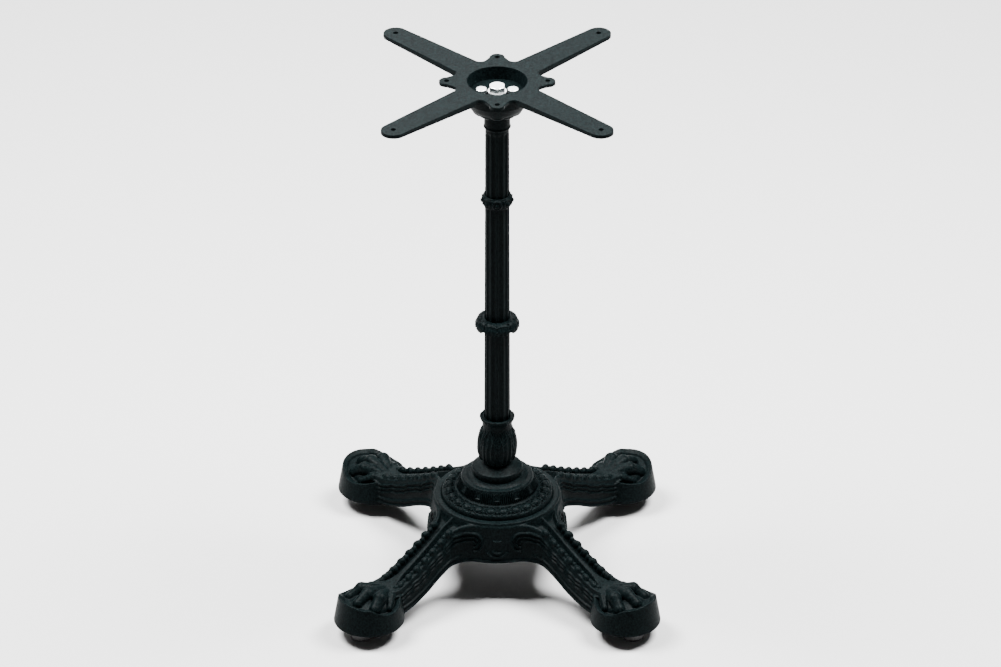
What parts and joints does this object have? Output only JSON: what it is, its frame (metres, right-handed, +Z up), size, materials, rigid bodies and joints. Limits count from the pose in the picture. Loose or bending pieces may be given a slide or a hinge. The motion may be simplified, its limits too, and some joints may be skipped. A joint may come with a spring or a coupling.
{
  "type": "pedestal table base",
  "caption": "Ornate black cast-iron pedestal base for a small table: a cross-shaped top plate on a fluted column, on splayed legs with claw feet and screw levellers.",
  "frame": {"origin": "on the floor under the centre of the column", "axes": "+Z up the column; the legs and the plate's arms lie along the diagonals of X and Y; -Y is the front"},
  "size_m": [0.4228, 0.4228, 0.72],
  "materials": {
    "casting": "black powder coat with a fine texture, satin",
    "zinc": "bright zinc plate",
    "glide": "matt black plastic"
  },
  "bodies": {
    "table_base": {"top_plate": "casting", "column_head": "casting", "side_screws": "zinc", "tie_bolt": "zinc", "tie_bolt_washer": "zinc", "fluted_shaft": "casting", "upper_collar": "casting", "middle_collar": "casting", "tulip_socket": "casting", "seat_disc": "casting", "base_washer": "zinc", "spring_washer": "zinc", "tie_nut": "zinc", "base_casting": "casting"},
    "pad_front_left": {"leveller_pad_front_left": "glide"},
    "stud_front_left": {"leveller_stud_front_left": "zinc"},
    "pad_front_right": {"leveller_pad_front_right": "glide"},
    "stud_front_right": {"leveller_stud_front_right": "zinc"},
    "pad_back_left": {"leveller_pad_back_left": "glide"},
    "stud_back_left": {"leveller_stud_back_left": "zinc"},
    "pad_back_right": {"leveller_pad_back_right": "glide"},
    "stud_back_right": {"leveller_stud_back_right": "zinc"}
  },
  "joints": [
    {"name": "lift_front_left", "type": "slide", "parent": "table_base", "child": "pad_front_left", "axis": [0, 0, -1], "range_m": [0, 0.01]},
    {"name": "turn_front_left", "type": "hinge", "parent": "pad_front_left", "child": "stud_front_left", "pos_m": [-0.17529, -0.17529, 0.02], "axis": [0, 0, -1], "range_deg": [0, 2880]},
    {"name": "lift_front_right", "type": "slide", "parent": "table_base", "child": "pad_front_right", "axis": [0, 0, -1], "range_m": [0, 0.01]},
    {"name": "turn_front_right", "type": "hinge", "parent": "pad_front_right", "child": "stud_front_right", "pos_m": [0.17529, -0.17529, 0.02], "axis": [0, 0, -1], "range_deg": [0, 2880]},
    {"name": "lift_back_left", "type": "slide", "parent": "table_base", "child": "pad_back_left", "axis": [0, 0, -1], "range_m": [0, 0.01]},
    {"name": "turn_back_left", "type": "hinge", "parent": "pad_back_left", "child": "stud_back_left", "pos_m": [-0.17529, 0.17529, 0.02], "axis": [0, 0, -1], "range_deg": [0, 2880]},
    {"name": "lift_back_right", "type": "slide", "parent": "table_base", "child": "pad_back_right", "axis": [0, 0, -1], "range_m": [0, 0.01]},
    {"name": "turn_back_right", "type": "hinge", "parent": "pad_back_right", "child": "stud_back_right", "pos_m": [0.17529, 0.17529, 0.02], "axis": [0, 0, -1], "range_deg": [0, 2880]}
  ],
  "couplings": [
    {"joint": "turn_front_left", "follows": "lift_front_left", "rad_per_m": 5026.5},
    {"joint": "turn_front_right", "follows": "lift_front_right", "rad_per_m": 5026.5},
    {"joint": "turn_back_left", "follows": "lift_back_left", "rad_per_m": 5026.5},
    {"joint": "turn_back_right", "follows": "lift_back_right", "rad_per_m": 5026.5}
  ]
}
